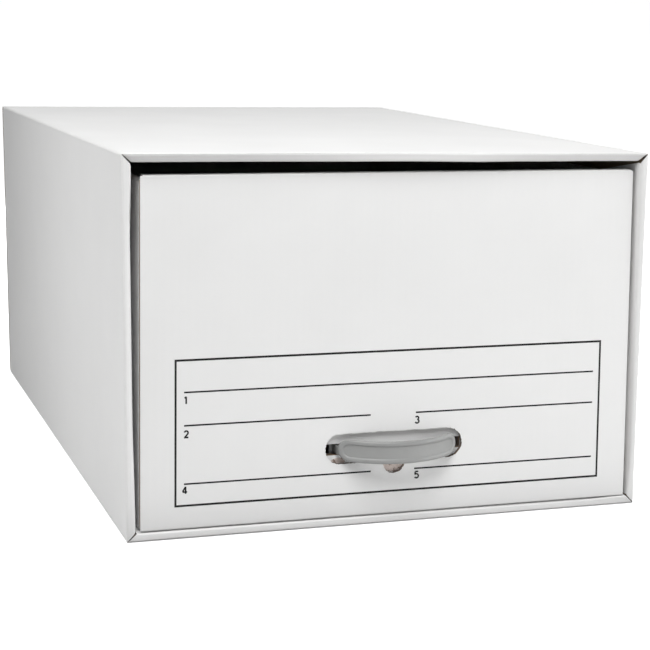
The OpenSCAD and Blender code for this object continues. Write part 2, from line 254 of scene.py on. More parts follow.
def white_liner():
    """The clay-coated face: white with faint grey clouds, fine fibres in the coating and
    a slightly greyer, rubbed line along its creases and cut edges."""
    finish, tree, shader = start_material("white_liner", (0.83, 0.83, 0.82, 1), 0.62)
    where = place_on_object(tree)
    fine, cloud = noise(where, 900.0, 3.0), noise(where, 14.0, 4.0)
    fleck, scuff = noise(where, 2600.0, 1.0), noise(where, 120.0, 3.0)
    edge = add_node(tree, "ShaderNodeAttribute", {"attribute_name": "edge"}, [], "Fac")
    rubbed = edge.math("EXPONENT", edge * -0.45)
    base = mix_colours(cloud, (0.80, 0.80, 0.795, 1), (0.87, 0.87, 0.865, 1))
    base = mix_colours(spots(fleck, 0.66, 0.74, 0.14), base, (0.52, 0.50, 0.47, 1))
    base = mix_colours(rubbed * scuff * 0.35, base, (0.60, 0.585, 0.56, 1))
    surface(shader, base, 0.5 + 0.22 * cloud, fine, 0.25, 0.00004)
    return finish


def kraft_liner():
    """Unbleached paper: brown with long fibres, darker flecks and a slight nap."""
    finish, tree, shader = start_material("kraft_liner", (0.42, 0.28, 0.16, 1), 0.85)
    where = place_on_object(tree)
    fibre = noise(place_on_object(tree, (1, 3, 1)), 420.0, 4.0)
    cloud, fleck = noise(where, 11.0, 4.0), noise(where, 1500.0, 2.0)
    base = mix_colours(cloud, (0.33, 0.235, 0.155, 1), (0.40, 0.295, 0.20, 1))
    base = mix_colours(fibre * 0.5, base, (0.30, 0.19, 0.105, 1))
    base = mix_colours(spots(fleck, 0.60, 0.72, 0.35), base, (0.16, 0.095, 0.05, 1))
    surface(shader, base, 0.8 + 0.12 * fibre, fibre, 0.35, 0.00008)
    return finish


def cut_edge():
    """Edges where the board was cut: grey pulp, faintly pink, with brown fibres in it."""
    finish, tree, shader = start_material("cut_edge", (0.19, 0.17, 0.17, 1), 0.9)
    where = place_on_object(tree)
    fibre, cloud = noise(where, 1300.0, 3.0), noise(where, 90.0, 3.0)
    base = mix_colours(fibre, (0.25, 0.225, 0.22, 1), (0.13, 0.11, 0.105, 1))
    base = mix_colours(cloud * 0.5, base, (0.24, 0.17, 0.12, 1))
    surface(shader, base, 0.82 + 0.12 * cloud, fibre, 0.5, 0.00015)
    return finish


papers = [white_liner(), kraft_liner(), cut_edge()]


def stations(size, first, last, step, radii, inside=False):
    """Distances across a panel, with the drop and the tilt of its face at each. At a crease
    the face follows a quarter arc from its 45 degree mitre: r - r sin, r - r cos."""

    def lead(kind, radius):
        if kind == "crease" and not inside:
            tilt = np.linspace(math.pi / 4, 0, 6)
            return radius - radius * np.sin(tilt), radius - radius * np.cos(tilt), tilt
        start = {"crease": board_t, "raw": raw_step, "butt": 0.0}[kind]
        return np.array([start]), np.zeros(1), np.zeros(1)

    near, far = lead(first, radii[0]), lead(last, radii[1])
    low, high = near[0][-1], size - far[0][-1]
    off = np.array([2.5, 6, 14])
    inner = np.concatenate([np.arange(step, size, step), low + off, high - off])
    inner = np.unique(inner[(inner > low + 0.4) & (inner < high - 0.4)])
    if step > 5 and len(inner):
        inner = inner[np.concatenate([[True], np.diff(inner) > 1.2])]
    zeros = 0 * inner
    return (np.concatenate([near[0], inner, size - far[0][::-1]]),
            np.concatenate([near[1], zeros, far[1][::-1]]),
            np.concatenate([near[2], zeros, -far[2][::-1]]))


def slab(top, bottom, ring=False):
    """A closed sheet between two grids of points, n by m by 3, with a wall round its border.
    A ring joins its last column to its first. Returns points, quads and which are top."""
    n, m = top.shape[:2]
    index, count = grid_index(n, m, ring), n * m
    upper = grid_faces(index)
    sides = [index[:, 0], index[-1, :], index[::-1, -1], index[0, ::-1]]
    if ring:
        sides = [sides[1], sides[3]]
    walls = [np.stack([s[1:], s[:-1], s[:-1] + count, s[1:] + count], -1) for s in sides]
    quads = np.concatenate([upper, upper[:, ::-1] + count] + walls)
    flags = np.arange(len(quads)) < len(upper)
    return np.concatenate([top.reshape(-1, 3), bottom.reshape(-1, 3)]), quads, flags


root = 1.1  # how far in from an edge the strip of teeth ends, under the liner's own edge


def teeth(length):
    """Places along a die-cut edge and how far its saw teeth leave or reach the edge there."""
    count = max(4, int(round(length / tooth)) * 2)
    place = np.linspace(0, 1, count + 1)
    return place, raw_step * 0.95 * (np.arange(count + 1) % 2)


def lip(inner, outer, high, low):
    """The saw-toothed border of a liner: a strip between two lines of its plan."""
    lines = np.stack([inner, outer])
    return tuple(np.dstack([lines, np.full(lines.shape[:2], h)]) for h in (high, low))


sag_z = 150.0  # above this height the top's sag and wave begin
wall_x = 190.0  # from here outwards the walls bow
wave_d, held_d = 40.0, 60.0  # how deep the wave and the hold of the ends reach


def settle_shell(points):
    """How the sleeve has settled: its corners have racked inwards by a few millimetres, most
    at the mouth, its top sags between the walls, the walls bow in, and the front edge of the
    top waves a little."""
    x, y, z = points.T
    depth = unit((y - mouth_y) / shell_d)
    rise = unit(z / shell_h)
    aside = x / (shell_w / 2)
    left, right = unit(-aside), unit(aside)
    share = unit(x / shell_w + 0.5)
    racked = left * ((1 - rise) * (4.5 - 0.7 * depth) + rise * 1.7 * (1 - depth))
    racked = racked - right * (1 - depth) * (2.7 * (1 - rise) + 4.2 * rise)
    down = -right * rise * (3.2 - 2.4 * depth)
    back = (1 - depth) * (rise * (1.0 + 1.1 * share) + (1 - rise) * 1.1 * share)
    across = unit(1 - aside ** 2)
    upper = unit((z - sag_z) / (shell_h - sag_z)) ** 2
    sag = -1.1 * across * upper * (0.55 + 0.45 * np.sin(math.pi * depth))
    wave = -0.5 * upper * np.exp(-depth * (shell_d / wave_d)) * (
        np.exp(-((x - 70) / 22.0) ** 2) + 0.7 * np.exp(-((x - 128) / 16.0) ** 2))
    height = unit(4 * z * (shell_h - z) / shell_h ** 2)
    bow = -np.sign(x) * 0.7 * height * unit((np.abs(x) - wall_x) / 18.0)
    held = shell_d / held_d
    bow = bow * np.clip(depth * held, 0.25, 1) * unit((1 - depth) * held)
    return points + np.stack([racked + bow, back, sag + wave + down], 1)


settle = {"shell": settle_shell}


def build(name, body, parts, finishes):
    """One object from closed sheets. A part is its points in millimetres, its faces, the
    number of each face's finish and, for board, each point's distance from a border."""
    offset, faces = 0, []
    for part in parts:
        faces += (part[1] + offset).tolist()
        offset += len(part[0])
    points, finish = (np.concatenate([part[i] for part in parts]) for i in (0, 2))
    mesh = bpy.data.meshes.new(name)
    mesh.from_pydata((settle[body](points) * mm).tolist(), [], faces)
    mesh.polygons.foreach_set("material_index", finish.astype(np.int32))
    if len(parts[0]) > 3:
        layer = mesh.attributes.new("edge", "FLOAT", "POINT")
        edge = np.concatenate([part[3] for part in parts])
        layer.data.foreach_set("value", edge.astype(np.float32))
    for material in finishes:
        mesh.materials.append(material)
    mesh.polygons.foreach_set("use_smooth", np.ones(len(mesh.polygons), bool))
    mesh.set_sharp_from_angle(angle=sharp_angle)
    mesh.update()
    piece = put_in_scene(name, mesh)
    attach(piece, body)
    return piece


def recalculate(mesh, merge=None):
    """Turns every face of a closed mesh outwards, after points that are nearer than merge
    have become one."""
    shape = bmesh.new()
    shape.from_mesh(mesh)
    if merge:
        bmesh.ops.remove_doubles(shape, verts=shape.verts, dist=merge)
    bmesh.ops.recalc_face_normals(shape, faces=shape.faces)
    shape.to_mesh(mesh)
    shape.free()


def cut_out(piece, cutters):
    """Takes the cutters out of a piece that is still made of separate closed sheets."""
    for cutter in cutters:
        for material in piece.data.materials:
            cutter.data.materials.append(material)
        saw = piece.modifiers.new("saw", "BOOLEAN")
        saw.object, saw.operation, saw.solver = cutter, "DIFFERENCE", "EXACT"
    ready = piece.evaluated_get(bpy.context.evaluated_depsgraph_get())
    shape = bpy.data.meshes.new_from_object(ready)
    piece.modifiers.clear()
    old, piece.data = piece.data, shape
    bpy.data.meshes.remove(old)
    for cutter in cutters:
        bpy.data.objects.remove(cutter)


def board(node, body, origin, across, along, out, width, length, folds,
          ends=None, holes=(), tabs=(), bend=None, slot="board", inside_shows=True,
          step_t=28.0, radii=(fold_r, fold_r)):
    """The panel of board for a CAD node. Its plan is s across the flutes and t along them,
    from origin; out is its white side. folds says what its edges s = 0, s = width, t = 0 and
    t = length are: crease, raw or butt. ends(s) gives where the flutes start and stop. holes
    are outlines in the plan with the two lines of their torn edge, tabs are rectangles that
    stand out past it, and bend turns it in space. step_t is the grid's step along t, and
    radii are those of the creases at s = 0 and s = width."""
    across, along, out = (np.array(v, float) for v in (across, along, out))
    flip = np.dot(np.cross(across, along), out) < 0
    ends = ends or (lambda s: (0 * s, 0 * s + length))
    sheets, lips = [], []
    white, brown, cut = 0, 1, 2
    far_off, seam = 60.0, 0.02

    def to_space(plan):
        """origin + s across + t along + h out"""
        flat = plan.reshape(-1, 3)
        space = origin + flat[:, :1] * across + flat[:, 1:2] * along + flat[:, 2:] * out
        return bend(space) if bend else space

    def add(group, top, bottom, face, distance=None, ring=False, under=cut):
        """Adds a sheet. Its top is white if face is set, its faces are under otherwise, and
        its walls are cut edge."""
        points, quads, upper = slab(top, bottom, ring)
        if flip:
            quads = quads[:, ::-1]
        far = np.full(len(points), far_off)
        if distance is not None:
            far[:distance.size] = distance.ravel()
        paper = np.where(upper & face, white, under)
        paper[2 * np.count_nonzero(upper):] = cut
        group.append((to_space(points), quads, paper, far))

    def between(s, t):
        """The plan's t at each s, where the flutes start and stop as ends says."""
        start, stop = (line[:, None] for line in ends(s))
        return start, stop, start + (stop - start) * t / length

    def liner(inside):
        """One liner as a grid over the plan, sagging between the flute tips it is glued to:
        w / 2 (1 - cos(2 pi s / flute))."""
        fine = flute / 6 if (inside_shows or not inside) else flute * 2
        s, drop_s, tilt_s = stations(width, folds[0], folds[1], fine, radii, inside)
        t, drop_t, tilt_t = stations(length, folds[2], folds[3], step_t, radii[:1] * 2, inside)
        plan_s = np.repeat(s[:, None], len(t), 1)
        start, stop, plan_t = between(s, t)
        drop = np.maximum(drop_s[:, None], drop_t[None, :])
        tilt = np.maximum(np.abs(tilt_s)[:, None], np.abs(tilt_t)[None, :])
        wash = washboard * (1 - np.cos(2 * math.pi * plan_s / flute)) / 2 * (drop < 1e-6)
        if inside:
            top = np.dstack([plan_s, plan_t, -board_t + liner_t + 0 * drop])
            bottom = np.dstack([plan_s, plan_t, -board_t + wash])
            add(sheets, top, bottom, False, under=brown)
            return
        top = np.dstack([plan_s, plan_t, -drop - wash])
        bottom = np.dstack([plan_s + liner_t * np.sin(tilt_s)[:, None],
                            plan_t + liner_t * np.sin(tilt_t)[None, :],
                            -drop - liner_t * np.cos(tilt)])
        edge = np.minimum(np.minimum(plan_s, width - plan_s),
                          np.minimum(plan_t - start, stop - plan_t))
        add(sheets, top, bottom, True, edge, under=brown)

    def medium():
        """The waved sheet between the liners: its middle is A cos(2 pi s / flute), and its
        two faces stand half its thickness off that line."""
        inset = {"crease": 3.0, "raw": 0.45, "butt": 0.3}
        first, last = inset[folds[0]], width - inset[folds[1]]
        s = np.linspace(first, last, max(8, int((last - first) / flute * 8)))
        t = np.linspace(inset[folds[2]], length - inset[folds[3]],
                        max(2, int(length / 90) + 1))
        high = (board_t - 2 * liner_t - medium_t) / 2 - seam
        phase = 2 * math.pi * s / flute
        middle = -board_t / 2 + high * np.cos(phase)
        slope = np.arctan(-high * 2 * math.pi / flute * np.sin(phase))
        faces = []
        for off in (medium_t / 2, -medium_t / 2):
            lines = (s - off * np.sin(slope), middle + off * np.cos(slope))
            plan_s, height = (np.repeat(line[:, None], len(t), 1) for line in lines)
            faces.append(np.dstack([plan_s, between(s, t)[2], height]))
        add(sheets, *faces, False)

    def borders():
        """Saw-toothed borders along the raw edges, and round the holes, of both liners."""
        inner = liner_t - board_t
        for high, low, face, lead in ((-seam, -liner_t + seam, True, radii[0]),
                                      (inner - seam, -board_t + seam, False, board_t)):
            begin = {"crease": lead, "raw": 0.0, "butt": 0.0}
            for number, kind in enumerate(folds):
                if kind != "raw":
                    continue
                runs_along, side = number < 2, number % 2
                if runs_along:
                    lo, hi = (float(v[0]) for v in ends(np.array([width * side])))
                    lo, hi = lo + begin[folds[2]], hi - begin[folds[3]]
                else:
                    lo, hi = begin[folds[0]], width - begin[folds[1]]
                place, depth = teeth(hi - lo)
                run = lo + (hi - lo) * place
                edge = width * side if runs_along else ends(run)[side]
                way = 1 - 2 * side
                lines = [edge + way * depth, edge + way * (0 * depth + root)][::way]
                pairs = [(v, run) if runs_along else (run, v) for v in lines]
                top, bottom = lip(*[np.stack(pair, 1) for pair in pairs], high, low)
                if not runs_along:
                    top, bottom = top.swapaxes(0, 1), bottom.swapaxes(0, 1)
                add(lips, top, bottom, face)
            for torn in (hole[1] for hole in holes if hole[1]):
                top, bottom = lip(torn[1], torn[0], high, low)
                add(lips, top, bottom, face, ring=True)

    def cutter(number, line):
        """A closed prism over an outline in the plan, from over the board to under it."""
        count = len(line)
        rims = [np.column_stack([line, np.full(count, h)]) for h in (3.0, -board_t - 3.0)]
        walls = np.arange(count)
        after = (walls + 1) % count
        faces = np.stack([walls, after, after + count, walls + count], 1).tolist()
        faces += [list(range(count))[::-1], list(range(count, 2 * count))]
        mesh = bpy.data.meshes.new("cutter")
        space = to_space(np.concatenate(rims))
        mesh.from_pydata((settle[body](space) * mm).tolist(), [], faces)
        mesh.polygons.foreach_set("material_index", np.full(len(faces), cut, np.int32))
        mesh.update()
        recalculate(mesh)
        return put_in_scene("cutter_%d" % number, mesh)

    liner(False)
    liner(True)
    medium()
    for box_s, box_t in tabs:
        top, bottom = (np.array([[[s, t, h] for t in box_t] for s in box_s])
                       for h in (-0.05, -board_t + 0.05))
        add(sheets, top, bottom, False)
    borders()
    piece = build("board_" + node, body, sheets, papers)
    if holes:
        cutters = [cutter(number, hole[0]) for number, hole in enumerate(holes)]
        bpy.context.view_layer.update()
        cut_out(piece, cutters)
    if lips:
        join(piece, build("extra", body, lips, papers))
    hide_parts(node)
    return piece


def join(piece, extra):
    """Adds another object's mesh to a finished piece's."""
    shape = bmesh.new()
    shape.from_mesh(piece.data)
    shape.from_mesh(extra.data)
    shape.to_mesh(piece.data)
    shape.free()
    piece.data.set_sharp_from_angle(angle=sharp_angle)
    bpy.data.objects.remove(extra)


to_right, to_rear, to_top = np.eye(3)
creased = ("crease",) * 4
left_x, right_x = -shell_w / 2, shell_w / 2
rear_y = mouth_y + shell_d
low_left, low_right = (left_x, mouth_y, 0), (right_x, mouth_y, 0)
board("shell_top", "shell", (left_x, mouth_y, shell_h), to_rear, to_right, to_top,
      shell_d, shell_w, creased)
board("shell_bottom", "shell", low_left, to_rear, to_right, -to_top,
      shell_d, shell_w, creased, inside_shows=False)
board("shell_left_wall", "shell", low_left, to_rear, to_top, -to_right,
      shell_d - board_t, shell_h, creased)
board("shell_right_wall", "shell", low_right, to_rear, to_top, to_right,
      shell_d - board_t, shell_h, creased)

# The tab that closes the tube is turned up from the bottom and glued to the right wall,
# white side against it, with both of its ends cut at a slope.
return_d, tab_w = 76.0, 36.0
tab_l = shell_d - 3 * board_t - return_d - 2 * ply_gap
board("shell_glue_tab", "shell", (right_x - board_t, mouth_y + return_d + board_t, board_t),
      to_rear, to_top, to_right, tab_l, tab_w, ("butt", "butt", "butt", "raw"),
      ends=lambda s: (0 * s, np.clip(np.minimum(s, tab_l - s) * 2, 0.6, tab_w)),
      slot="board_inside")

# ---- Mouth: rim, return flaps and floor liner ----
# The mouth is folded back on itself: a narrow rim strip on each side, with slits at its
# mitres, and a flap inside. The lower flap is long and lines the floor.
double_t = 2 * board_t + ply_gap
slit, return_taper = 0.6, 12.0
tight_r, soft_r = 0.9, 1.4
flap_folds = ("crease", "raw", "raw", "raw")


def rim(name, origin, across, along, length, bend, inner_r=fold_r):
    """A rim strip between its two creases. Its slits open towards its inner crease."""

    def mitres(s):
        """Both ends run in at a little more than 45 degrees."""
        return slit / 2 + 1.06 * s, length - slit / 2 - 1.06 * s

    board(name, "shell", origin, across, along, -to_rear, double_t, length,
          ("crease", "crease", "butt", "butt"), ends=mitres, bend=bend,
          radii=(fold_r, inner_r))


def leaning(points):
    """The upper rim and its flap lean inwards about the outer crease, by the sine and the
    cosine of an angle that is least in the middle, and less with the depth."""
    x, y, z = points.T
    angle = np.radians(26 - 18 * np.exp(-((x - 15) / 90.0) ** 2))
    fade = unit(1 - (y - mouth_y) / return_d) ** 2
    off = z - shell_h
    return np.stack([x, y - off * np.sin(angle) * fade,
                     z - off * (1 - np.cos(angle)) * fade], 1)


def ramp(value, start, end):
    """0 before start, 1 after end and a soft rise between: 3 u u - 2 u u u."""
    share = unit((value - start) / (end - start))
    return 3 * share ** 2 - 2 * share ** 3


def rolled(crease, axis, way, amount, run, start, stop, fall=1.0):
    """A rim that runs round into its flap in a soft roll: near the inner crease, at the given
    place on an axis, the board gives way inwards by amount, less with the square of the
    distance from it. Along the axis run, it comes up over start and falls off over stop."""

    def bend(points):
        off = (points[:, axis] - crease) * way
        near = unit(1 - off / double_t) ** 2
        deep = unit(1 - (points[:, 1] - mouth_y) / 12.0) ** 2
        share = ramp(points[:, run], *start) * (1 - fall * ramp(points[:, run], *stop))
        give = amount * near * deep * share
        moved = points.copy()
        moved[:, axis] += way * give
        moved[:, 1] += give
        return moved

    return bend


# The lower rim rolls all along but for its right end, where its flap has been cut short;
# the side rims stay squarer near their ends.
bend_bottom = rolled(double_t, 2, -1, 0.8, 0, (-shell_w, left_x), (190.0, 195.0))
bend_left = rolled(left_x + double_t, 0, -1, 1.7, 2, (8.0, 110.0), (235.0, 275.0))
bend_right = rolled(right_x - double_t, 0, 1, 2.4, 2, (4.0, 40.0), (255.0, 285.0), 0.4)
rim("rim_bottom", low_left, to_top, to_right, shell_w, bend_bottom, soft_r)
rim("rim_top", (left_x, mouth_y, shell_h), -to_top, to_right, shell_w, leaning, tight_r)
rim("rim_left", low_left, to_right, to_top, shell_h, bend_left)
rim("rim_right", low_right, -to_right, to_top, shell_h, bend_right)


def return_flap(name, origin, along, out, length, depth, bend, crease_r=fold_r):
    """A flap that turns back from a rim strip, narrower at its free end."""

    def trim(s):
        return np.clip((s - board_t) * return_taper / (depth - board_t), 0, None)

    board(name, "shell", origin, to_rear, along, out, depth, length, flap_folds,
          ends=lambda s: (trim(s), length - trim(s)), bend=bend,
          radii=(crease_r, crease_r), inside_shows=False)


flap_edge = double_t + slit
return_flap("return_flap_top", (left_x + flap_edge, mouth_y, shell_h - double_t),
            to_right, -to_top, shell_w - 2 * flap_edge, return_d, leaning, tight_r)
return_flap("floor_liner", (left_x + flap_edge, mouth_y, double_t),
            to_right, to_top, shell_w - 2 * flap_edge, shell_d - 2 * board_t - ply_gap,
            bend_bottom, soft_r)
return_flap("return_flap_left", (left_x + double_t, mouth_y, flap_edge),
            to_top, to_right, shell_h - 2 * flap_edge, return_d, bend_left)
return_flap("return_flap_right", (right_x - double_t, mouth_y, flap_edge),
            to_top, -to_right, shell_h - 2 * flap_edge, return_d, bend_right)

# ---- Rear closure ----
# Two side flaps turn in first, then the lower flap and the upper one close over them,
# and a round-cornered tab of the upper flap tucks in behind the lower one.
rear_side_w, rear_upper_h = 140.0, 132.0
rear_seam = shell_h - rear_upper_h
side_flap_h = shell_h - 2 * (board_t + ply_gap)


def side_trim(s):
    """The rear half of a side flap narrows towards its free end."""
    return np.clip((s - rear_side_w / 2) * return_taper / (rear_side_w / 2), 0, None)


for name, x, way in (("rear_flap_left", left_x, 1), ("rear_flap_right", right_x, -1)):
    board(name, "shell", (x, rear_y - board_t, board_t + ply_gap), way * to_right, to_top,
          to_rear, rear_side_w, side_flap_h, flap_folds,
          ends=lambda s: (side_trim(s), side_flap_h - side_trim(s)), slot="board_inside")
board("rear_flap_upper", "shell", (left_x, rear_y, rear_seam), to_top, to_right,
      to_rear, rear_upper_h, shell_w, ("raw", "crease", "raw", "raw"))
board("rear_flap_lower", "shell", (left_x, rear_y, 0), to_top, to_right, to_rear,
      rear_seam - 1.0, shell_w, flap_folds)
tuck_w, tuck_h, tuck_r, tuck_in = 124.0, 51.0, 14.0, 42.0


def tuck_round(s):
    """The tuck tab's round corners: r - sqrt(r2 - (r - s)2)."""
    return tuck_r - np.sqrt(tuck_r ** 2 - np.clip(tuck_r - s, 0, tuck_r) ** 2)


board("rear_tuck_tab", "shell",
      (-tuck_w / 2, rear_y - board_t, rear_seam - tuck_in), to_top,
      to_right, to_rear, tuck_h, tuck_w, ("raw", "butt", "raw", "raw"),
      ends=lambda s: (tuck_round(s), tuck_w - tuck_round(s)), slot="board_inside")

# ---- Drawer: bottom and sides ----
# One blank: the sides fold up, over a narrow top edge and down again inside, where lock
# tabs hold them in slots of the bottom. Its flutes run from front to back.
left_play, right_play, top_play, back_play, slide_gap = 8.5, 6.0, 9.5, 10.0, 0.3
recess = 3.0
drawer_w = shell_w - 2 * double_t - left_play - right_play
drawer_d = shell_d - 2 * board_t - back_play - recess
drawer_h = shell_h - 2 * double_t - top_play - slide_gap
drawer_at = np.array([left_x + double_t + left_play, mouth_y + recess, double_t + slide_gap])
inner_z, inner_s = board_t + ply_gap, double_t + ply_gap
inner_w = drawer_w - 2 * inner_s
side_start = 2 * inner_z
side_h, side_l = drawer_h - board_t - ply_gap, drawer_d - 2 * side_start
lock_w, lock_play = 48.0, 0.2


def settle_drawer(points):
    """How the drawer has settled: its front leans back at the top and out at the bottom, and
    its sides bow in at the top."""
    x, y, z = points.T
    depth = unit((y - drawer_at[1]) / drawer_d)
    rise = unit((z - drawer_at[2]) / drawer_h)
    side = (x - drawer_at[0]) / (drawer_w / 2) - 1
    left, right = unit(-side), unit(side)
    lean = (8 * rise - 2) * unit(1 - 2 * depth)
    bow = -side * 1.2 * np.sin(math.pi * depth) * rise ** 1.5
    bow = bow + left * (2.2 * rise - 1) + right * (0.3 - 0.6 * rise)
    bulge = 0.5 * unit(1 - side ** 2) * rise * ((1 - depth) ** 8 - depth ** 8)
    return points + np.stack([bow, lean + bulge, 0 * z], 1)


settle["drawer"] = settle_drawer


def rectangle(s0, s1, t0, t1):
    """The outline of a slot in a panel's plan. Its edge isn't torn."""
    return np.array([[s0, t0], [s1, t0], [s1, t1], [s0, t1]]), None


slots = []
for share in (0.25, 0.75):
    for length, start, places, turned in (
            (side_l, side_start, (double_t - board_t, drawer_w - double_t), False),
            (inner_w, inner_s, (side_start, drawer_d - side_start - board_t), True)):
        mid = start + share * length
        reach = (mid - lock_w / 2 - lock_play, mid + lock_w / 2 + lock_play)
        for low in places:
            thin = (low - lock_play, low + board_t + lock_play)
            slots.append(rectangle(*(reach + thin if turned else thin + reach)))
board("drawer_bottom", "drawer", drawer_at, to_right, to_rear, -to_top,
      drawer_w, drawer_d, creased, holes=slots)
tab_reach = (-board_t, 0.4)  # from the slot in the bottom to just inside the tab's own ply


def tabs_along(length, share):
    """Where a lock tab starts and stops along an inner ply."""
    return share * length - lock_w / 2, share * length + lock_w / 2


for side, x, way in (("left", 0.0, 1), ("right", drawer_w, -1)):
    board("drawer_%s_outer" % side, "drawer", drawer_at + (x, inner_z, 0), to_top, to_rear,
          -way * to_right, side_h, drawer_d - side_start, creased, inside_shows=False)
    board("drawer_%s_edge" % side, "drawer", drawer_at + (x, side_start, side_h),
          way * to_right, to_rear, to_top, double_t, side_l, ("crease", "crease", "raw", "raw"))
    board("drawer_%s_inner" % side, "drawer",
          drawer_at + (x + way * double_t, side_start, inner_z), to_top, to_rear,
          way * to_right, side_h - inner_z, side_l, ("butt", "crease", "raw", "raw"),
          tabs=[(tab_reach, tabs_along(side_l, share)) for share in (0.25, 0.75)],
          inside_shows=False)

# ---- Drawer: front and back ----
# The front and the back fold the same way over the sides' corner flaps, so they are
# three plies thick. Both top corners are rounded, and their flutes stand upright.
triple_t = 3 * board_t + 2 * ply_gap
corner_r, edge_in = 3.2, 2.0
sharp = (1.2, 1.2)  # radii of the crease at the top of the front and back
end_folds = ("raw", "raw", "crease", "crease")
hole_w, hole_h = 113.0, 23.0
notch_w, notch_d, notch_shift = 17.5, 10.0, 0.5
hole_x, hole_z = drawer_w / 2 + 0.5, 54.0


def corner_cut(right):
    """What a rounded top corner leaves off, as an outline in the plan of a front panel. The
    right corner is worn rounder than the left one."""
    r = corner_r if right else 0.4 * corner_r
    turn = np.linspace(0, math.pi / 2, 9)
    arc = np.stack([r - r * np.sin(turn), drawer_h - r + r * np.cos(turn)], 1)
    line = np.concatenate([arc, [[-2, drawer_h - r], [-2, drawer_h + 2], [r, drawer_h + 2]]])
    if right:
        line = line * (-1, 1) + (drawer_w, 0)
    return line, None


def hand_hole(grow):
    """The outline of the hand hole with its thumb notch: a stadium, and a circle below it."""
    r, flat = hole_h / 2 + grow, (hole_w - hole_h) / 2
    notch_r = notch_w / 2 + grow
    notch_z = -hole_h / 2 - notch_d + notch_w / 2
    meet = math.sqrt(notch_r ** 2 - (-r - notch_z) ** 2)
    rise = math.asin((-r - notch_z) / notch_r)
    right = np.linspace(-math.pi / 2, math.pi / 2, 41)
    left = right + math.pi
    dip = np.linspace(math.pi - rise, 2 * math.pi + rise, 25)
    top = np.linspace(flat, -flat, 58)[1:-1]
    run_in = np.linspace(-flat, -notch_shift - meet, 24)[1:-1]
    run_out = np.linspace(meet - notch_shift, flat, 24)[1:-1]
    return np.concatenate([np.stack(line, 1) for line in (
        (flat + r * np.cos(right), r * np.sin(right)),
        (top, 0 * top + r),
        (-flat + r * np.cos(left), r * np.sin(left)),
        (run_in, 0 * run_in - r),
        (notch_r * np.cos(dip) - notch_shift, notch_z + notch_r * np.sin(dip)),
        (run_out, 0 * run_out - r))]) + (hole_x, hole_z)


ragged = np.random.default_rng(7)
clean = hand_hole(0.0)
saw = ragged.uniform(0.0, 1.0, len(clean)) * np.where(clean[:, 1] > hole_z + 9, 1.1, 0.6)
inward = hand_hole(-1.0) - clean
hole_edge = (hand_hole(1.1), (clean - inward * (saw[:, None] - 0.1), hand_hole(2.0)))
tail_slot_w, tail_slot_h, tail_drop = 19.0, 9.0, 1.0
slot_x = hole_w / 2 - tail_slot_w / 2


def tail_slots(origin_s, origin_t, swap):
    """The two slots for the handle's tails in a panel's plan, from its own corner."""
    found = []
    for side in (-1, 1):
        s0 = hole_x + side * slot_x - tail_slot_w / 2 - origin_s
        t0 = hole_z - tail_drop - tail_slot_h / 2 - origin_t
        box = (s0, s0 + tail_slot_w, t0, t0 + tail_slot_h)
        found.append(rectangle(*(box[2:] + box[:2] if swap else box)))
    return found


corners = [corner_cut(False), corner_cut(True)]
for side, y, way, outer_holes, inner_holes, extra in (
        ("front", 0.0, 1, [hole_edge] + corners, tail_slots(inner_s, inner_z, False),
         {"step_t": 14.0, "radii": sharp}),
        ("back", drawer_d, -1, corners, (), {})):
    board("drawer_%s_outer" % side, "drawer", drawer_at + (0, y, 0), to_right,
          to_top, -way * to_rear, drawer_w, drawer_h, end_folds, holes=outer_holes, **extra)
    board("drawer_%s_edge" % side, "drawer", drawer_at + (edge_in, y, drawer_h),
          to_right, way * to_rear, to_top, drawer_w - 2 * edge_in, triple_t, end_folds,
          radii=sharp)
    board("drawer_%s_inner" % side, "drawer",
          drawer_at + (inner_s, y + way * triple_t, inner_z), to_right, to_top,
          way * to_rear, inner_w, drawer_h - inner_z, ("raw", "raw", "butt", "crease"),
          holes=inner_holes,
          tabs=[(tabs_along(inner_w, share), tab_reach) for share in (0.25, 0.75)])

flap_z = side_h - inner_z
long_w = hole_x + hole_w / 2 + 18.0
for name, x, y, way, face, flap_w, holes in (
        ("front_flap_long", 0.0, inner_z, 1, -1, long_w, tail_slots(0, inner_z, True)),
        ("front_flap_short", drawer_w, inner_z, -1, -1, drawer_w - long_w - 1.0, ()),
        ("back_flap_left", 0.0, drawer_d - inner_z, 1, 1, 150.0, ()),
        ("back_flap_right", drawer_w, drawer_d - inner_z, -1, 1, 150.0, ())):
    board(name, "drawer", drawer_at + (x, y, inner_z), to_top, way * to_right, face * to_rear,
          flap_z, flap_w, ("raw", "raw", "crease", "raw"), holes=holes)

# ---- Torn paper ----
# Where the hand hole and its notch were punched, the liner of the flap behind was torn
# open: flakes of rough pulp, brown and pinkish white, lie on the flap.
flap_face = drawer_at[1] + board_t + ply_gap


def torn_pulp():
    """Torn pulp: pinkish white fibres with brown patches and a few dark pits."""
    finish, tree, shader = start_material("torn_pulp", (0.6, 0.52, 0.48, 1), 0.9)
    where = place_on_object(tree)
    fibre, patch = noise(where, 1500.0, 3.0), noise(where, 320.0, 2.0)
    base = mix_colours(fibre, (0.80, 0.72, 0.68, 1), (0.42, 0.33, 0.29, 1))
    base = mix_colours(spots(patch, 0.53, 0.62, 0.8), base, (0.17, 0.11, 0.08, 1))
    surface(shader, base, 0.8 + 0.15 * fibre, fibre, 0.8, 0.0003)
    return finish


def plain(points, quads, flags=None):
    """A part for build that has one finish all over; which faces are top doesn't matter."""
    return points, quads, np.zeros(len(quads), int)


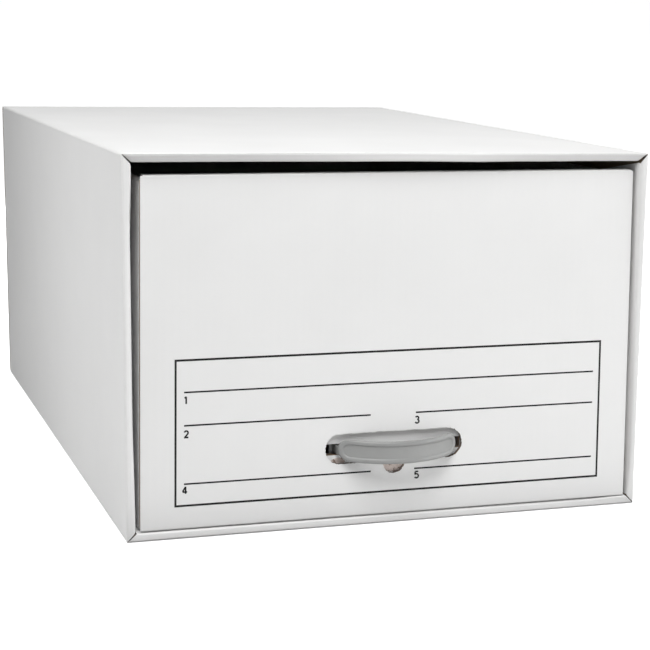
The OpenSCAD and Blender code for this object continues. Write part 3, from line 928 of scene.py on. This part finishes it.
def flake(centre, half_size, seed):
    """A flake on the flap's face: rings about its centre out to a ragged border, each point
    raised by a random share of the room behind the front."""
    wild = np.random.default_rng(seed)
    around = np.linspace(0, 2 * math.pi, 65)[:-1]
    border = 1 - 0.16 * wild.uniform(0, 1, 64) + 0.06 * np.sin(3 * around + seed)
    share = np.linspace(0.002, 1, 14)[:, None]
    x = centre[0] + half_size[0] * share * border * np.cos(around)
    z = centre[1] + half_size[1] * share * border * np.sin(around)
    lift = 0.1 + 0.24 * wild.uniform(0, 1, x.shape) * (share < 0.999)
    top = np.dstack([x, flap_face - lift, z])
    bottom = np.dstack([x, 0 * x + flap_face + 0.05, z])
    return plain(*slab(top, bottom, True))


hole_at = drawer_at + (hole_x, 0, hole_z)
flakes = [flake((hole_at[0] - notch_shift, hole_at[2] - hole_h / 2 - 1.0), (10.6, 10.4), 3),
          flake((hole_at[0] - 45.0, hole_at[2] - 10.5), (6.5, 3.2), 5)]
torn_piece = build("torn_paper", "drawer", flakes, [torn_pulp()])

# ---- Printed form ----
# A label field is printed in black on the drawer front: a rectangle ruled into lines,
# each of them numbered. The ink is a film that lies on the liner.
ink, tree, shader = start_material("ink", (0.02, 0.02, 0.02, 1), 0.55)
wet = noise(place_on_object(tree), 700.0, 3.0)
feed(shader, "Base Color", mix_colours(wet, (0.004, 0.004, 0.004, 1), (0.02, 0.02, 0.02, 1)))
shader.inputs["Specular IOR Level"].default_value = 0.15
feed(shader, "Roughness", 0.45 + 0.25 * wet)
line_w, rule_w = 1.6, 1.25


def ink_film(x, z):
    """A film of ink on the front over a grid of places, from 0.05 before to 0.12 in it."""
    grids = (np.dstack([x, np.full(x.shape, drawer_at[1] - h), z]) for h in (0.05, -0.12))
    return plain(*slab(*grids))


def ink_line(x0, x1, z0, z1):
    """Ink over a rectangle of the front, following its face."""
    x = np.linspace(x0, x1, max(2, int(abs(x1 - x0) / 4) + 1))
    z = np.linspace(z0, z1, max(2, int(abs(z1 - z0) / 4) + 1))
    return ink_film(*np.meshgrid(x, z, indexing="ij"))


form = (-173.0, 177.7, 25.8, 137.2)
half = line_w / 2
rules = [(form[0] - half, form[1] + half, z - half, z + half) for z in form[2:]]
rules += [(x - half, x + half, form[2] + half, form[3] - half) for x in form[:2]]
fields = [(-166.5, 172.0, 112.8), (-166.5, -18.2, 87.4), (19.3, 172.0, 87.4),
          (-166.5, -17.6, 42.5), (18.5, 172.3, 42.5)]
rules += [(x0, x1, z - rule_w / 2, z + rule_w / 2) for x0, x1, z in fields]


def numeral(strokes, x0, z0):
    """The strokes of a numeral as films of ink: lines of points in a box 1 wide and 1.6 high,
    each widened at right angles to the way from the point before to the point after."""
    films = []
    for stroke in strokes:
        line = np.array(stroke, float) * numeral_w + (x0, z0)
        along = np.gradient(line, axis=0)
        along = along / np.linalg.norm(along, axis=1)[:, None]
        aside = np.stack([-along[:, 1], along[:, 0]], 1) * stroke_w / 2
        plan = np.stack([line + aside, line - aside])
        films.append(ink_film(plan[..., 0], plan[..., 1]))
    return films


def arc_of(centre, radius, start, end):
    """Points on an ellipse's arc, from one angle in degrees to another."""
    turned = np.radians(np.linspace(start, end, 15))
    return np.stack([centre[0] + radius[0] * np.cos(turned),
                     centre[1] + radius[1] * np.sin(turned)], 1).tolist()


numeral_w, stroke_w = 3.4, 1.25
one = [[(0.1, 1.28), (0.25, 1.4), (0.45, 1.6), (0.45, 1.59)],
       [(0.45, 1.6), (0.45, 0.8), (0.45, 0.0)]]
two = [arc_of((0.5, 1.15), (0.42, 0.42), 165, -38) + [(0.45, 0.45), (0.08, 0.06)],
       [(0.0, 0.1), (0.5, 0.1), (1.0, 0.1)]]
three = [arc_of((0.46, 1.2), (0.38, 0.36), 155, -85),
         arc_of((0.46, 0.43), (0.46, 0.42), 85, -160)]
four = [[(0.7, 1.6), (0.35, 1.05), (0.02, 0.5)], [(0.0, 0.42), (0.5, 0.42), (1.05, 0.42)],
        [(0.7, 1.62), (0.7, 0.8), (0.7, 0.0)]]
five = [[(0.92, 1.52), (0.5, 1.52), (0.16, 1.52)], [(0.2, 1.5), (0.15, 1.15), (0.1, 0.8)],
        arc_of((0.46, 0.5), (0.48, 0.48), 125, -150)]
numerals = [(one, -166.4, 104.0), (two, -166.5, 78.0), (three, 18.8, 78.8),
            (four, -167.6, 35.0), (five, 18.9, 34.7)]
films = [ink_line(*rule) for rule in rules]
for strokes, x0, z0 in numerals:
    films += numeral(strokes, x0, z0)
print_piece = build("printed_form", "drawer", films, [ink])

# ---- Handle ----
# A bowed grip of grey moulded plastic with a bead round its edge. Its tails go through
# slots behind the hand hole, and the bars at their ends lock behind the inner ply.
grip_w, grip_h, grip_t = 97.5, 17.8, 1.8
grip_sag, grip_shift = 1.0, 2.2
handle_at = drawer_at + (hole_x + grip_shift, inner_z, hole_z)
bead_d, bead_w = 4.0, 4.4
slope = math.radians(42)
grip_r = grip_w / 2 / math.sin(slope)
axis_y = math.sqrt((grip_r - bead_d / 2) ** 2 - (grip_w / 2) ** 2)
tip_y = axis_y - grip_r * math.cos(slope)
tail_h, tail_t, tail_r = 6.5, 2.2, 4.0
bar_w, bar_h, bar_t = 8.0, 16.0, 2.6


def moulded_grey():
    """Grey polyethylene: faintly clouded, satin, with a fine moulded grain."""
    finish, tree, shader = start_material("moulded_grey", (0.4, 0.4, 0.39, 1), 0.4)
    where = place_on_object(tree)
    cloud, grain = noise(where, 60.0, 3.0), noise(where, 2200.0, 2.0)
    base = mix_colours(cloud, (0.25, 0.253, 0.248, 1), (0.30, 0.303, 0.298, 1))
    surface(shader, base, 0.3 + 0.14 * cloud, grain, 0.2, 0.00003)
    return finish


def stadium(inset, count=176):
    """Points round the grip's outline, drawn in by inset, evenly spaced by its length: two
    straight runs and two half circles. At the full inset it is the line between centres."""
    r, flat = max(grip_h / 2 - inset, 1e-4), (grip_w - grip_h) / 2
    full = grip_h / 2
    total = 4 * flat + 2 * math.pi * full
    run = np.arange(count) / count * total
    marks = [flat, flat + math.pi * full, flat + math.pi * full + 2 * flat,
             flat + 2 * math.pi * full + 2 * flat, total]
    part = np.searchsorted(marks, run, side="right")
    x, z = np.zeros(count), np.zeros(count)
    top_a, arc_a, low, arc_b, top_b = (part == i for i in range(5))
    x[top_a], z[top_a] = run[top_a], r
    a = (run[arc_a] - marks[0]) / full
    x[arc_a], z[arc_a] = flat + r * np.sin(a), r * np.cos(a)
    x[low], z[low] = flat - (run[low] - marks[1]), -r
    b = (run[arc_b] - marks[2]) / full
    x[arc_b], z[arc_b] = -flat - r * np.sin(b), -r * np.cos(b)
    x[top_b], z[top_b] = -flat + (run[top_b] - marks[3]), r
    return x, z


def grip_points(inset, half, side):
    """A ring of the grip: its outline bowed on an upright arc, x to axis - sqrt(R2 - x2),
    sagging by 1 - (2 x / w)2 in the middle, and moved along the arc's normal to one side."""
    x, z = stadium(inset)
    rise = np.sqrt(grip_r ** 2 - x ** 2)
    normal = np.stack([x / grip_r, -rise / grip_r, 0 * x], 1)
    low = grip_sag * (1 - (2 * x / grip_w) ** 2)
    return np.stack([x, axis_y - rise, z - low], 1) + side * half * normal


# The bead's section is a half ellipse that ends on the web: w / 2 (1 - cos), d / 2 sin.
web = grip_t / 2
turn = np.linspace(0, math.pi - math.asin(grip_t / bead_d), 14)
insets = np.concatenate([bead_w / 2 * (1 - np.cos(turn)),
                         [bead_w + 0.4, 7.0, 8.6, grip_h / 2 - 0.001]])
heights = np.concatenate([bead_d / 2 * np.sin(turn), [web] * 4])
rings = [grip_points(i, h, 1) for i, h in zip(insets, heights)]
rings_back = [grip_points(i, h, -1) for i, h in zip(insets, heights)][1:]
around = np.stack(rings_back[::-1] + rings)
grip_part = plain(around.reshape(-1, 3) + handle_at,
                  grid_faces(grid_index(*around.shape[:2], True)))


def rounded(width, height, r):
    """A rectangle with rounded corners, as points round it."""
    corner = np.linspace(0, math.pi / 2, 6)
    points = []
    for quarter, (sx, sy) in enumerate(((1, 1), (-1, 1), (-1, -1), (1, -1))):
        a = corner + quarter * math.pi / 2
        points.append(np.stack([sx * (width / 2 - r) + r * np.cos(a),
                                sy * (height / 2 - r) + r * np.sin(a)], 1))
    return np.concatenate(points)


def swept(path, sideways, profile, scales):
    """A closed bar: the profile carried along a path, its first axis sideways and its second
    up. scales draws it in at each point; both ends are capped to their middles."""
    rings = (path[:, None] + profile[None, :, :1] * scales[:, None, None] * sideways[:, None]
             + profile[None, :, 1:] * scales[:, None, None] * to_top)
    quads = grid_faces(grid_index(*rings.shape[:2], True))[:, [0, 3, 2, 1]]
    return plain(rings.reshape(-1, 3), quads)


bend_x = grip_w / 2 - bead_w / 2 * math.cos(slope) - tail_r * math.sin(slope)
bend_y = tip_y - bead_w / 2 * math.sin(slope) + tail_r * math.cos(slope)
bar_y = double_t + 0.3
a = np.linspace(slope - math.pi / 2, 0, 10)
arc_side = np.stack([np.cos(a), np.sin(a), 0 * a], 1)
arc = tail_r * arc_side + (bend_x, bend_y, 0)
leg_y = np.linspace(bend_y, bar_y + bar_t / 2, 5)[1:]
leg = np.stack([0 * leg_y + bend_x + tail_r, leg_y, 0 * leg_y], 1)
tail_path = np.concatenate([arc[:1], arc, leg, leg[-1:]])
tail_side = np.concatenate([arc_side[:1], arc_side, np.tile(to_right, (len(leg) + 1, 1))])
tail_scale = np.concatenate([[0.02], np.ones(len(arc) + len(leg)), [0.02]])
bar_depth = np.array([0.0, 0.0, 0.12, 0.5, bar_t - 0.5, bar_t - 0.12, bar_t, bar_t])
bar_scale = np.array([0.02, 0.9, 0.96, 1.0, 1.0, 0.96, 0.9, 0.02])
bar_path = np.stack([0 * bar_depth + bend_x + tail_r, bar_y + bar_depth, 0 * bar_depth], 1)
bar_side = np.tile(to_right, (len(bar_path), 1))
handle_parts = [grip_part]
for mirror in (1, -1):
    flipped = np.array([mirror, 1.0, 1.0])
    for path, sideways, profile, scales in (
            (tail_path, tail_side, rounded(tail_t, tail_h, 0.7), tail_scale),
            (bar_path, bar_side, rounded(bar_w, bar_h, 1.2), bar_scale)):
        points, quads, finish = swept(path, sideways, profile, scales)
        handle_parts.append((points * flipped + handle_at + (0, 0, -tail_drop),
                             quads[:, ::-1] if mirror > 0 else quads, finish))
handle = build("moulded_handle", "drawer", handle_parts, [moulded_grey()])
recalculate(handle.data, merge=0.00001)
handle.data.set_sharp_from_angle(angle=math.radians(50))
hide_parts("handle")
